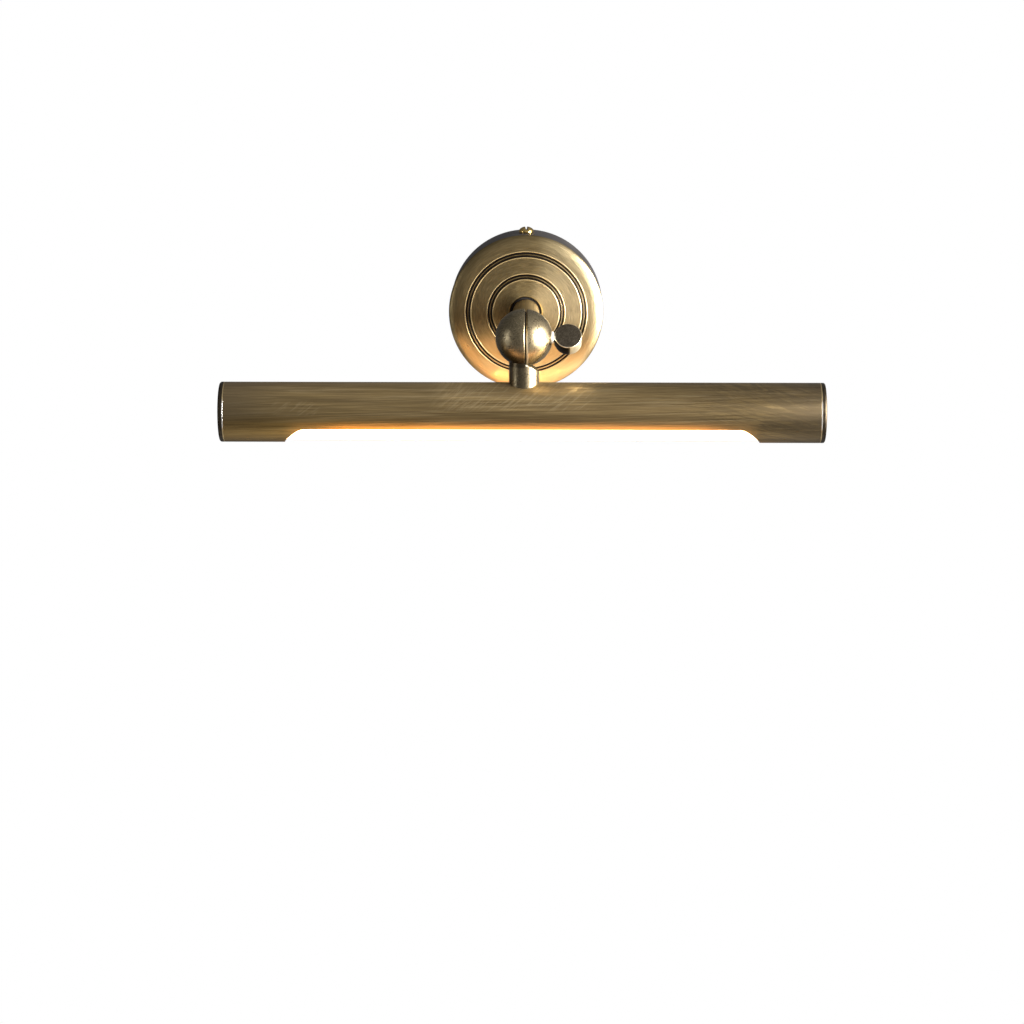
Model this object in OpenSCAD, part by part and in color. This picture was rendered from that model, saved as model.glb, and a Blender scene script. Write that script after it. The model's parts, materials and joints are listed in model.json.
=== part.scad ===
// Wall-mounted picture light: round canopy, straight arm, clamped split-ball knuckle and a tubular lamp head.
// The back of the wall strap lies on the XZ plane, the arm reaches towards -Y and +Z is up.

/* [Canopy] */
// Diameter of the canopy over its front rim
canopy_d = 108.8; // [104:0.4:116]
// Distance from the wall to the middle of the canopy's front face
canopy_depth = 48; // [46:1:52]
// Sheet thickness of the canopy's side wall and front face
canopy_wall = 1.4; // [1.2:0.1:1.6]
// How far the front rim stands out past the side wall
rim_overhang = 0.2; // [0.2:0.1:1]
// How far the shallow cone of the front face falls from its middle to its shoulder
cone_rise = 2; // [0.5:0.1:2.5]
// Radial width of the rounded shoulder
shoulder_width = 9.6; // [7:0.1:10]
// Depth of the rounded shoulder
shoulder_depth = 3.4; // [2:0.1:3.6]
// Mean radius of the outer pair of turned grooves
outer_groove_r = 40.9; // [38:0.1:42]
// Mean radius of the inner pair of turned grooves
inner_groove_r = 25.4; // [22:0.1:30]
// Spacing between the two grooves of a pair
groove_spacing = 2; // [1.8:0.1:2.6]
// Width of one turned groove
groove_width = 1.5; // [1:0.1:1.7]
// Depth of one turned groove
groove_depth = 0.8; // [0.4:0.1:1]

/* [Arm] */
// Diameter of the arm
arm_d = 19; // [18:0.5:20]
// Distance from the wall to the middle of the knuckle
arm_reach = 176; // [156:1:200]
// Outer diameter of the black bush round the arm's root
bush_d = 22; // [21.5:0.5:23]

/* [Knuckle] */
// Diameter of the split ball
ball_d = 38; // [38:0.5:40]
// Place of the split, to the right of the ball's middle
split_x = 1; // [0.8:0.1:1.4]
// Width of the split, filled by the friction ring
split_gap = 0.8; // [0.6:0.1:1]
// Diameter of the hollow inside the ball
hollow_d = 30.4; // [28:0.2:30.4]
// Diameter of the stem between ball and lamp tube
stem_d = 20; // [19:0.5:21]
// Diameter of the clamp screw
clamp_screw_d = 5; // [4.5:0.5:5.5]

/* [Clamp knob] */
// Diameter of the paddle's round end
paddle_d = 18; // [15:0.2:18.4]
// Distance from the ball's flat pole to the middle of the paddle's round end
paddle_reach = 11; // [11:0.2:14]
// Thickness of the paddle
paddle_t = 10; // [5:0.5:11]
// Height of the paddle's neck
neck_h = 4.6; // [4:0.2:5]
// How far the paddle is turned back from upright, in degrees
paddle_turn = 36; // [0:1:60]

/* [Lamp tube] */
// Diameter of the lamp tube
tube_d = 40; // [40:0.5:42]
// Wall thickness of the lamp tube
tube_wall = 1.2; // [1:0.1:1.2]
// Length of the lamp tube without its caps
tube_length = 395; // [360:5:440]
// Distance from the ball's middle down to the tube's axis
tube_drop = 50.2; // [50:0.1:52]
// Sideways offset of the tube's middle from the knuckle
tube_shift = -1.3; // [-4:0.1:4]
// Thickness of an end cap outside the tube
cap_t = 3.5; // [2.5:0.5:4]
// Length of the window in the underside
window_length = 316; // [280:1:330]
// Angle from straight down to the window's long edge, in degrees
window_angle = 63.5; // [55:0.5:66]
// Corner radius of the window seen from below
window_corner_r = 14; // [4:0.5:15]

/* [Light engine] */
// Distance between neighbouring light-emitting diodes
led_pitch = 10; // [8:1:14]
// Number of light-emitting diodes
led_count = 31; // [21:2:31]
// Width of the circuit board
board_w = 14; // [14:1:16]

/* [Wall strap] */
// Width of the strap
strap_w = 24; // [22:1:26]
// Sheet thickness of the strap
strap_t = 1.6; // [1.5:0.1:2]
// Distance between the middles of the two wall-screw slots
slot_spacing = 64; // [60:1:66]
// Length of a wall-screw slot, end to end
slot_length = 14; // [10:1:16]
// Width of a wall-screw slot
slot_w = 4.5; // [4:0.1:5]

/* [Hidden] */
$fn = 64;

EPS = 0.01;
OVER = 1;                  // how far a cutting shape runs past what it cuts
ARC_STEPS = 10;            // straight pieces in the shoulder's curve
WIRE_SIDES = 8;

// colours
BRASS = [0.62, 0.50, 0.30];
DARK_BRASS = [0.30, 0.26, 0.21];
GOLD = [0.85, 0.62, 0.25];
STEEL = [0.70, 0.71, 0.72];
BLACK = [0.08, 0.08, 0.08];
WHITE = [0.95, 0.94, 0.90];
RED = [0.70, 0.10, 0.08];

// canopy
canopy_r = canopy_d / 2;
side_r = canopy_r - rim_overhang;
side_inner_r = side_r - canopy_wall;
rim_back = canopy_depth - cone_rise - shoulder_depth - 0.8;
flange_inner_r = 40;
shoulder_r = canopy_r - shoulder_width;
bush_r = bush_d / 2;
bush_fit = 0.05;

// plate that carries the arm inside the canopy
plate_r = 46;
plate_t = 2;
plate_front = rim_back - canopy_wall;
plate_back = plate_front - plate_t;
plate_screw_r = 1.5;
plate_screw_ring = 43;
plate_screw_count = 4;

// arm
arm_r = arm_d / 2;
arm_wall = 1.5;
rod_r = 5;
rod_bore_r = 3.8;
thread_fit = 0.05;
neck_length = 26;
spigot_length = 8;
rod_front = 25;            // from the ball's middle back to the rod's front end
neck_bore_start = 19.5;    // from the ball's middle back to the end of the neck's bore
rod_rear = plate_back - 9.6;
nut_h = 5;
nut_flats = 14;
washer_t = 1.5;

// knuckle
ball_r = ball_d / 2;
hollow_r = hollow_d / 2;
neck_start = hollow_r + 0.45;  // neck and stem start inside the ball's wall
stem_r = stem_d / 2;
left_face = split_x - split_gap / 2;
right_face = split_x + split_gap / 2;
boss_r = 5.4;
clamp_r = clamp_screw_d / 2;
clamp_fit = 0.05;
clamp_screw_reach = 11;    // how far the clamp screw goes past the ball's middle
pole_flat = ball_r - 0.8;  // flat on the right pole that the washers sit on
paddle_x = pole_flat + paddle_reach;
paddle_front = 2.6;        // from the clamp screw's axis to the paddle's front face
clearance_start = 0.35;    // gap between one half-ball and the other half's neck or stem
clearance_slope = 0.36;
clearance_run = 14;
right_chamfer = 1.3;
left_chamfer = 0.5;
channel_r = 2.3;
arm_channel_x = 3.9;
stem_channel_x = -3.2;
lead_r = 1.5;

// lamp tube, measured from its own axis
tube_r = tube_d / 2;
tube_inner_r = tube_r - tube_wall;
window_half_w = tube_r * sin(window_angle);
window_lap = 0.03;
tube_half = tube_length / 2;
spigot_t = 5;
spigot_wall = 2;
cap_fit = 0.05;
cap_edge = 0.8;
cope_fit = 0.02;           // between the foot of the stem and the tube
nipple_r = 5;
nipple_bore_r = 3.6;
nipple_top = 25;           // below the ball's middle
stem_bore_top = 20.5;
nipple_reach = 10.8;       // below the top of the tube
stem_washer_r = 9;
stem_washer_flat = 15.3;
stem_nut_h = 4.5;

// light engine, measured from the tube's axis
rail_half_w = 17.5;
rail_top = 5;
rail_bottom = 2;
rail_leg = 1.5;
engine_half = tube_half - spigot_t - 1;
board_t = 1.6;
board_half = engine_half - 6;
chip_size = [3.5, 2.8, 0.8];
chip_row_y = -3;
diffuser_r = tube_inner_r - 0.3;
diffuser_t = 1.5;
diffuser_top = -3;
feed_y = 3.5;              // row of the board's feed slot and screws
feed_slot = [6, 5];
feed_slot_x = 17.3;
connector_size = [6, 5, 4];
connector_x = 9.3;
board_screw_x = [-165, -85, 75, 165];
board_screw_r = 1.5;
board_head_r = 2.8;
board_head_h = 1.4;

// strap
strap_half = side_inner_r - 0.8;
tab_w = 16;
canopy_screw_t = 24;       // from the wall to the axis of the canopy screws
tab_depth = canopy_screw_t + 8;
canopy_screw_r = 2;
canopy_head_r = 5.3;
canopy_head_h = 4.2;
canopy_head_crown_r = 7.2; // radius of the rounded top of the head
screw_slot_w = 1.8;
screw_slot_turn = 8;
earth_z = -14;

// things in the canopy
driver_size = [26, 52, 19];
driver_x = 13;
driver_pad_t = 1.4;
driver_back = plate_back - driver_pad_t - driver_size[2];
block_size = [18, 28, 13];
block_x = -38;
block_back = plate_back - block_size[2];
block_poles = 3;
block_pitch = 9;

// ---- helpers ----

// Turns a shape drawn upwards from z = 0 into one that stands out from the wall
module from_wall() {
    rotate([90, 0, 0]) children();
}

module at_knuckle() {
    translate([0, -arm_reach, 0]) children();
}

module at_lamp() {
    translate([tube_shift, -arm_reach, -tube_drop]) children();
}

// Turns a shape drawn upwards from z = 0 into one that points along +X
module along_x() {
    rotate([0, 90, 0]) children();
}

module ring(outer_r, inner_r, h) {
    difference() {
        cylinder(r = outer_r, h = h);
        translate([0, 0, -OVER]) cylinder(r = inner_r, h = h + 2 * OVER);
    }
}

module hex_nut(flats, bore_r, h) {
    difference() {
        cylinder(r = flats / 2 / cos(30), h = h, $fn = 6);
        translate([0, 0, -OVER]) cylinder(r = bore_r, h = h + 2 * OVER);
    }
}

// Rounded rectangle centred on the origin, made of true arcs; lap is how far its corner circles pass its sides
module rounded_plate(length, width, r, lap = 0) {
    square([length - 2 * r, width], center = true);
    square([length, width - 2 * r], center = true);
    for (sx = [-1, 1])
        for (sy = [-1, 1])
            translate([sx * (length / 2 - r), sy * (width / 2 - r)]) circle(r = r + lap);
}

// Smooth curve through hand-placed points
function curve_point(a, b, c, d, u) =
    0.5 * (2 * b + (c - a) * u + (2 * a - 5 * b + 4 * c - d) * u * u + (3 * b - a - 3 * c + d) * u * u * u);

function curve(p, steps) = [
    for (i = [0 : len(p) - 2])
        for (s = [0 : steps - 1])
            curve_point(p[max(i - 1, 0)], p[i], p[i + 1], p[min(i + 2, len(p) - 1)], s / steps),
    p[len(p) - 1]
];

function unit(v) = v / norm(v);
function tangent(p, i) = unit(p[min(i + 1, len(p) - 1)] - p[max(i - 1, 0)]);
function side_dir(t) = unit(cross(t, [0.60, 0.48, 0.64]));

// Round wire of radius r along the path p, closed at both ends
module wire(p, r) {
    n = len(p);
    points = [
        for (i = [0 : n - 1])
            let (t = tangent(p, i), u = side_dir(t), v = cross(t, u))
                for (k = [0 : WIRE_SIDES - 1])
                    let (a = 360 * k / WIRE_SIDES)
                        p[i] + r * (cos(a) * u + sin(a) * v)
    ];
    sides = [
        for (i = [0 : n - 2])
            for (k = [0 : WIRE_SIDES - 1])
                let (a = i * WIRE_SIDES + k, b = i * WIRE_SIDES + (k + 1) % WIRE_SIDES)
                    each [[a, a + WIRE_SIDES, b + WIRE_SIDES], [a, b + WIRE_SIDES, b]]
    ];
    start = [[for (k = [0 : WIRE_SIDES - 1]) k]];
    end = [[for (k = [WIRE_SIDES - 1 : -1 : 0]) (n - 1) * WIRE_SIDES + k]];
    polyhedron(points = points, faces = concat(sides, start, end));
}

// ---- wall strap and canopy ----

module wall_strap() {
    color(STEEL) from_wall() difference() {
        union() {
            translate([-strap_w / 2, -strap_half + strap_t, 0])
                cube([strap_w, 2 * (strap_half - strap_t), strap_t]);
            translate([-tab_w / 2, -strap_half, 0]) cube([tab_w, 2 * strap_half, strap_t]);
            for (s = [-1, 1])
                translate([-tab_w / 2, s * (strap_half - strap_t / 2) - strap_t / 2, 0])
                    cube([tab_w, strap_t, tab_depth]);
        }
        for (s = [-1, 1])
            translate([0, s * slot_spacing / 2, -OVER])
                linear_extrude(strap_t + 2 * OVER)
                    rotate(90) rounded_plate(slot_length, slot_w, slot_w / 2 - EPS);
        for (s = [-1, 1])
            translate([0, s * (strap_half + OVER), canopy_screw_t])
                rotate([s * 90, 0, 0]) cylinder(r = canopy_screw_r + thread_fit, h = strap_t + 2 * OVER);
        translate([0, earth_z, -OVER]) cylinder(r = canopy_screw_r + thread_fit, h = strap_t + 2 * OVER);
    }
}

module earth_screw() {
    color(GOLD) from_wall() translate([0, earth_z, 0]) {
        translate([0, 0, 0.2]) cylinder(r = canopy_screw_r, h = strap_t);
        translate([0, 0, strap_t]) difference() {
            cylinder(r = 3.6, h = 2.4);
            translate([-0.5, -5, 1.2]) cube([1, 10, 2]);
        }
    }
}

module canopy_shell() {
    color(DARK_BRASS) from_wall() difference() {
        cylinder(r = side_r, h = rim_back);
        translate([0, 0, -OVER]) cylinder(r = side_inner_r, h = plate_front + OVER);
        translate([0, 0, -OVER]) cylinder(r = flange_inner_r, h = rim_back + 2 * OVER);
        for (s = [-1, 1])
            translate([0, s * (side_inner_r - OVER), canopy_screw_t])
                rotate([-s * 90, 0, 0]) cylinder(r = canopy_screw_r + thread_fit, h = canopy_wall + 2 * OVER);
        plate_screw_holes(rim_back);
    }
}

// Height of the smooth front face at radius r
function face_height(r) = canopy_depth - cone_rise * r / shoulder_r;

function groove_points(r) = [
    [r - groove_width / 2, face_height(r - groove_width / 2)],
    [r, face_height(r) - groove_depth],
    [r + groove_width / 2, face_height(r + groove_width / 2)]
];

function groove_pair(r) = concat(groove_points(r - groove_spacing / 2), groove_points(r + groove_spacing / 2));

function shoulder_points() = [
    for (i = [1 : ARC_STEPS])
        let (a = 90 * i / ARC_STEPS)
            [shoulder_r + shoulder_width * sin(a), face_height(shoulder_r) - shoulder_depth * (1 - cos(a))]
];

module canopy_face() {
    outside = concat(
        [[bush_r, face_height(bush_r) - 0.9], [bush_r + 0.9, face_height(bush_r + 0.9)]],
        groove_pair(inner_groove_r),
        groove_pair(outer_groove_r),
        [[shoulder_r, face_height(shoulder_r)]],
        shoulder_points()
    );
    inside = [
        [canopy_r, rim_back],
        [side_inner_r - 3, rim_back],
        [shoulder_r - 1, face_height(shoulder_r) - groove_depth - canopy_wall],
        [bush_r, face_height(bush_r) - groove_depth - canopy_wall]
    ];
    color(BRASS) from_wall() rotate_extrude() polygon(concat(outside, inside));
}

module canopy_screws() {
    for (s = [-1, 1])
        color(GOLD) translate([0, -canopy_screw_t, 0]) rotate([s > 0 ? 0 : 180, 0, 0])
            translate([0, 0, side_r + 0.15]) {
                difference() {
                    intersection() {
                        cylinder(r = canopy_head_r, h = canopy_head_h);
                        translate([0, 0, canopy_head_h - canopy_head_crown_r]) sphere(r = canopy_head_crown_r);
                    }
                    rotate(screw_slot_turn)
                        translate([-screw_slot_w / 2, -canopy_head_r - OVER, canopy_head_h * 0.45])
                            cube([screw_slot_w, 2 * (canopy_head_r + OVER), canopy_head_h]);
                }
                translate([0, 0, -7]) cylinder(r = canopy_screw_r, h = 7.1);
            }
}

// ---- arm and what holds it ----

module plate_screw_holes(top) {
    for (i = [0 : plate_screw_count - 1])
        rotate(45 + 360 * i / plate_screw_count)
            translate([plate_screw_ring, 0, plate_back - OVER])
                cylinder(r = plate_screw_r + thread_fit, h = top - plate_back + 2 * OVER);
}

module arm_plate() {
    color(STEEL) from_wall() difference() {
        translate([0, 0, plate_back]) cylinder(r = plate_r, h = plate_t);
        translate([0, 0, plate_back - OVER]) cylinder(r = rod_r + 0.2, h = plate_t + 2 * OVER);
        plate_screw_holes(plate_front);
    }
}

module plate_screws() {
    for (i = [0 : plate_screw_count - 1])
        color(STEEL) from_wall() rotate(45 + 360 * i / plate_screw_count)
            translate([plate_screw_ring, 0, plate_back]) {
                cylinder(r = plate_screw_r, h = plate_t + canopy_wall + 0.4);
                translate([0, 0, -1.8]) cylinder(r = 2.8, h = 1.8);
            }
}

module arm_bush() {
    sleeve_bottom = plate_front + 0.6;
    color(BLACK) from_wall() translate([0, 0, sleeve_bottom]) {
        ring(bush_r - bush_fit, arm_r + bush_fit, face_height(bush_r) - 0.9 - sleeve_bottom);
        ring(bush_r + 4, arm_r + bush_fit, 1.6);
    }
}

module arm_tube() {
    color(BRASS) from_wall() translate([0, 0, plate_front])
        ring(arm_r, arm_r - arm_wall, arm_reach - neck_length - plate_front);
}

module arm_rod() {
    color(STEEL) from_wall() translate([0, 0, rod_rear])
        ring(rod_r, rod_bore_r, arm_reach - rod_front - rod_rear);
}

module arm_washer() {
    color(STEEL) from_wall() translate([0, 0, plate_back - washer_t]) ring(11, rod_r + 0.2, washer_t);
}

module arm_nut() {
    color(STEEL) from_wall() translate([0, 0, plate_back - washer_t - nut_h])
        hex_nut(nut_flats, rod_r + thread_fit, nut_h);
}

module led_driver() {
    color(WHITE) from_wall() difference() {
        translate([driver_x, -driver_size[1] / 2, driver_back]) cube(driver_size);
        for (s = [-1, 1])
            translate([driver_x + 4, s * (driver_size[1] / 2 - 2), driver_back - OVER])
                translate([0, -1.5, 0]) cube([driver_size[0] - 8, 3, 4 + OVER]);
    }
}

module driver_pad() {
    color(BLACK) from_wall() translate([driver_x + 4, -driver_size[1] / 2 + 4, plate_back - driver_pad_t])
        cube([driver_size[0] - 8, driver_size[1] - 8, driver_pad_t]);
}

module terminal_block() {
    color(WHITE) from_wall() difference() {
        translate([block_x, -block_size[1] / 2, block_back]) cube(block_size);
        for (i = [0 : block_poles - 1])
            translate([block_x, (i - 1) * block_pitch, block_back]) {
                translate([-OVER, -2, 4]) cube([5 + OVER, 4, 4]);
                translate([block_size[0] - 5, -2, 4]) cube([5 + OVER, 4, 4]);
                for (x = [5, block_size[0] - 5])
                    translate([x - 2.1, -2.1, -OVER]) cube([4.2, 4.2, 2.5 + OVER]);
            }
    }
}

module terminal_screws() {
    for (i = [0 : block_poles - 1])
        for (x = [5, block_size[0] - 5])
            color(GOLD) from_wall() translate([block_x + x, (i - 1) * block_pitch, block_back + 0.8])
                difference() {
                    cylinder(r = 1.9, h = 1.7);
                    translate([-2, -0.3, -EPS]) cube([4, 0.6, 0.6]);
                }
}

// Route points are [x, z, distance from the wall]
SUPPLY_ROUTE = [[-21, 0, 0], [-16, 0, -1], [-11, 2, -6], [0, 3, -9], [7, 1, -7], [10.5, 0, -6], [12.8, 0, -6]];

module supply_wires() {
    start = block_back + 6;
    for (s = [-1, 1])
        color(s < 0 ? RED : BLACK) from_wall() wire(
            curve([for (p = SUPPLY_ROUTE) [p[0], s * block_pitch + s * p[1], start + p[2]]], 4), 1.1);
}

// From the driver to the rod the points are measured from the rod's rear end: [x, z, distance behind it]
ARM_LEAD_START = [[12.9, -20, 5], [10, -20, 5], [6, -17, 7.5], [2, -9, 10], [0.2, -3, 8], [0, 0, 2]];
ARM_LEAD_MIDDLE = [[0.2, -0.6, 42], [-0.4, -1.2, 62], [0.3, -1.5, 84], [-0.2, -1.3, 106], [0.2, -0.8, 126]];
// Past the rod the points are measured from the ball's middle: [x, z, distance behind it]
ARM_LEAD_END = [[0, 0, 34], [1.2, 0.1, 27.5], [2.6, 0, 23], [3.4, 0, 19.5], [3.5, 0.1, 15], [2.9, 0, 11.6]];

module arm_lead() {
    path = concat(
        [for (p = ARM_LEAD_START) [p[0], p[1], rod_rear - p[2]]],
        ARM_LEAD_MIDDLE,
        [for (p = ARM_LEAD_END) [p[0], p[1], arm_reach - p[2]]]
    );
    color(BLACK) from_wall() wire(curve(path, 4), lead_r);
}

// ---- knuckle ----

// Section of a half-ball in radius and height, hollow round a central boss that the clamp screw goes through.
// The face lies at height 0 and the pole side is up; middle is the ball's middle, seen from the face.
module half_section(middle, pole, chamfer, bore_depth) {
    difference() {
        intersection() {
            translate([0, middle]) circle(r = ball_r);
            polygon([
                [0, 0], [ball_r - chamfer, 0], [ball_r - chamfer + ball_d, ball_d],
                [ball_r - chamfer + ball_d, pole], [0, pole]
            ]);
        }
        difference() {
            translate([0, middle]) circle(r = hollow_r);
            translate([-OVER, -ball_d]) square([boss_r + OVER, 2 * ball_d]);
        }
        translate([-OVER, -OVER]) square([clamp_r + clamp_fit + OVER, bore_depth + OVER]);
    }
}

// Room that one half's neck or stem leaves for the other half, a cone round the hinge axis
module swing_room(face_x, grow) {
    translate([face_x, 0, 0]) rotate([0, 90 * grow, 0])
        cylinder(
            r1 = ball_r + clearance_start,
            r2 = ball_r + clearance_start + clearance_slope * clearance_run,
            h = clearance_run
        );
}

module arm_half_ball() {
    color(BRASS) at_knuckle() difference() {
        union() {
            translate([right_face, 0, 0]) along_x() rotate_extrude()
                half_section(-right_face, pole_flat - right_face, right_chamfer, ball_d);
            difference() {
                translate([0, neck_start, 0]) rotate([-90, 0, 0]) cylinder(r = arm_r, h = neck_length - neck_start);
                swing_room(right_face, -1);
            }
            translate([0, neck_length - EPS, 0]) rotate([-90, 0, 0])
                cylinder(r = arm_r - arm_wall - 0.1, h = spigot_length);
        }
        translate([0, neck_bore_start, 0]) rotate([-90, 0, 0])
            cylinder(r = rod_r + thread_fit, h = neck_length + spigot_length - neck_bore_start + OVER);
        translate([arm_channel_x, hollow_r - 4, 0]) rotate([-90, 0, 0]) cylinder(r = channel_r, h = 10);
    }
}

module stem_half_ball() {
    color(BRASS) at_knuckle() difference() {
        union() {
            translate([left_face, 0, 0]) rotate([0, -90, 0]) rotate_extrude()
                half_section(left_face, 2 * ball_r, left_chamfer, left_face + clamp_screw_reach + 1);
            difference() {
                translate([0, 0, -tube_drop + tube_r / 2])
                    cylinder(r = stem_r, h = tube_drop - tube_r / 2 - neck_start);
                swing_room(left_face, 1);
            }
        }
        translate([-tube_half, 0, -tube_drop]) along_x() cylinder(r = tube_r + cope_fit, h = tube_length);
        translate([0, 0, -tube_drop]) cylinder(r = nipple_r + thread_fit, h = tube_drop - stem_bore_top);
        translate([stem_channel_x, 0, -stem_bore_top - 2]) cylinder(r = channel_r, h = 10);
    }
}

module friction_ring() {
    color(BLACK) at_knuckle() translate([left_face, 0, 0]) along_x()
        ring(ball_r - 1.7, hollow_r + 0.2, split_gap);
}

// ---- stem fixing ----

module stem_nipple() {
    color(STEEL) translate([0, -arm_reach, -tube_drop + tube_r - nipple_reach])
        ring(nipple_r, nipple_bore_r, tube_drop - tube_r + nipple_reach - nipple_top);
}

module stem_washer() {
    color(STEEL) translate([0, -arm_reach, -tube_drop]) difference() {
        intersection() {
            translate([0, 0, stem_washer_flat]) cylinder(r = stem_washer_r, h = 10);
            translate([-20, 0, 0]) along_x() cylinder(r = tube_inner_r, h = 40);
        }
        cylinder(r = nipple_r + 0.2, h = tube_d);
    }
}

module stem_nut() {
    color(STEEL) translate([0, -arm_reach, -tube_drop + stem_washer_flat - stem_nut_h])
        hex_nut(nut_flats, nipple_r + thread_fit, stem_nut_h);
}

// ---- lamp head ----

module lamp_tube() {
    color(BRASS) at_lamp() difference() {
        translate([-tube_half, 0, 0]) along_x() rotate(90) ring(tube_r, tube_inner_r, tube_length);
        translate([0, 0, -tube_d]) linear_extrude(tube_d)
            rounded_plate(window_length, 2 * window_half_w, window_corner_r, window_lap);
        translate([-tube_shift, 0, 0]) cylinder(r = nipple_r + 0.2, h = tube_d);
    }
}

module end_cap() {
    cylinder(r = tube_r, h = cap_t - cap_edge);
    translate([0, 0, cap_t - cap_edge]) cylinder(r1 = tube_r, r2 = tube_r - cap_edge, h = cap_edge);
    translate([0, 0, -spigot_t])
        ring(tube_inner_r - cap_fit, tube_inner_r - cap_fit - spigot_wall, spigot_t + EPS);
}

module left_end_cap() {
    color(DARK_BRASS) at_lamp() translate([-tube_half, 0, 0]) rotate([0, -90, 0]) end_cap();
}

module right_end_cap() {
    color(DARK_BRASS) at_lamp() translate([tube_half, 0, 0]) along_x() end_cap();
}

module board_screw_holes(r, bottom, top) {
    for (x = board_screw_x)
        translate([x, feed_y, bottom]) cylinder(r = r, h = top - bottom);
}

module feed_opening(top) {
    translate([feed_slot_x - feed_slot[0] / 2, feed_y - feed_slot[1] / 2, rail_bottom - board_t - OVER])
        cube([feed_slot[0], feed_slot[1], top - rail_bottom + board_t + 2 * OVER]);
}

module led_rail() {
    color(STEEL) at_lamp() difference() {
        union() {
            translate([-engine_half, -rail_half_w, rail_bottom])
                cube([2 * engine_half, 2 * rail_half_w, rail_top - rail_bottom]);
            for (s = [-1, 1])
                translate([-engine_half, s * (rail_half_w - rail_leg / 2) - rail_leg / 2, diffuser_top + 0.2])
                    cube([2 * engine_half, rail_leg, rail_bottom - diffuser_top]);
        }
        feed_opening(rail_top);
        board_screw_holes(board_screw_r, rail_bottom - OVER, rail_top - 0.5);
    }
}

module led_board() {
    color(WHITE) at_lamp() difference() {
        translate([-board_half, -board_w / 2, rail_bottom - board_t])
            cube([2 * board_half, board_w, board_t]);
        feed_opening(rail_bottom);
        board_screw_holes(board_screw_r + 0.1, rail_bottom - board_t - OVER, rail_bottom + OVER);
    }
}

module led_chips() {
    for (i = [0 : led_count - 1])
        color([0.98, 0.80, 0.25]) at_lamp()
            translate([
                (i - (led_count - 1) / 2) * led_pitch - chip_size[0] / 2,
                chip_row_y - chip_size[1] / 2,
                rail_bottom - board_t - chip_size[2]
            ]) cube(chip_size);
}

module board_screws() {
    underside = rail_bottom - board_t;
    for (x = board_screw_x)
        color(STEEL) at_lamp() translate([x, feed_y, underside]) {
            cylinder(r = board_screw_r - thread_fit, h = rail_top - 0.8 - underside);
            translate([0, 0, -board_head_h]) cylinder(r = board_head_r, h = board_head_h);
        }
}

module lead_connector() {
    color(WHITE) at_lamp()
        translate([connector_x - connector_size[0] / 2, feed_y - connector_size[1] / 2,
                   rail_bottom - board_t - connector_size[2]])
            cube(connector_size);
}

module diffuser() {
    color(WHITE) at_lamp() difference() {
        translate([-engine_half, 0, 0]) along_x() ring(diffuser_r, diffuser_r - diffuser_t, 2 * engine_half);
        translate([-tube_half, -tube_d, diffuser_top]) cube([tube_length, 2 * tube_d, tube_d]);
    }
}

// Points are [x, y, z] from the ball's middle; the last ones are measured from the tube's axis
STEM_LEAD_TOP = [[-1.2, 10.4, 0], [-4, 10.4, -1], [-6, 9, -4.5], [-6, 5.4, -9], [-3.8, 1, -13], [-3.2, 0, -16.5],
                 [-2.9, 0, -20.5], [-1.8, 0, -24.5], [-0.8, 0, -29]];
STEM_LEAD_FEED = [[1.2, 0, 12.5], [2.0, 0.2, 9.4], [5.4, 1, 7.3], [10.5, 2.6, 7], [15, 3.5, 6.4], [17, 3.5, 3.8],
                  [17.2, 3.5, 0.4], [16.2, 3.5, -2.2], [14.6, 3.5, -2.6]];

module stem_lead() {
    feed_end = [connector_x + connector_size[0] / 2 + 0.1, feed_y, rail_bottom - board_t - connector_size[2] / 2 - 1];
    path = concat(
        STEM_LEAD_TOP,
        [for (p = STEM_LEAD_FEED) p + [tube_shift, 0, -tube_drop]],
        [feed_end + [tube_shift, 0, -tube_drop]]
    );
    color(BLACK) at_knuckle() wire(curve(path, 4), lead_r);
}

// ---- clamp knob ----

// Where the straight side of the paddle meets its round end, from the neck's corner
function paddle_tangent() =
    let (
        start = [pole_flat + 1.9, neck_h / 2],
        to_middle = [paddle_x, 0] - start,
        run = sqrt(to_middle * to_middle - pow(paddle_d / 2, 2)),
        a = atan2(to_middle[1], to_middle[0]) + asin(paddle_d / 2 / norm(to_middle))
    )
        [start, start + run * [cos(a), sin(a)]];

module clamp_paddle() {
    p = paddle_tangent();
    color(DARK_BRASS) at_knuckle() rotate([-paddle_turn, 0, 0]) difference() {
        union() {
            rotate([90, 0, 0]) translate([0, 0, paddle_front - paddle_t]) linear_extrude(paddle_t) {
                polygon([
                    p[0], p[1], [paddle_x, p[1][1]],
                    [paddle_x, -p[1][1]], [p[1][0], -p[1][1]], [p[0][0], -p[0][1]]
                ]);
                translate([paddle_x, 0]) circle(r = paddle_d / 2);
            }
            translate([pole_flat + 1.5, 0, 0]) along_x() cylinder(r = neck_h / 2 + 1, h = 1.4);
        }
        translate([pole_flat, 0, 0]) along_x() cylinder(r = clamp_r - 1 + clamp_fit, h = 9);
    }
}

module clamp_screw() {
    color(STEEL) at_knuckle() {
        translate([-clamp_screw_reach, 0, 0]) along_x()
            cylinder(r = clamp_r, h = clamp_screw_reach + pole_flat + 1.5 - EPS);
        translate([pole_flat, 0, 0]) along_x() cylinder(r = clamp_r - 1, h = 8);
    }
}

module clamp_washer() {
    color(STEEL) at_knuckle() translate([pole_flat, 0, 0]) along_x() ring(4.1, clamp_r + 0.1, 0.9);
}

module clamp_spring_washer() {
    color(STEEL) at_knuckle() translate([pole_flat + 0.9, 0, 0]) along_x() difference() {
        ring(3.8, clamp_r + 0.1, 0.6);
        rotate(-30) translate([0, -0.3, -OVER]) cube([6, 0.6, 3]);
    }
}

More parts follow.
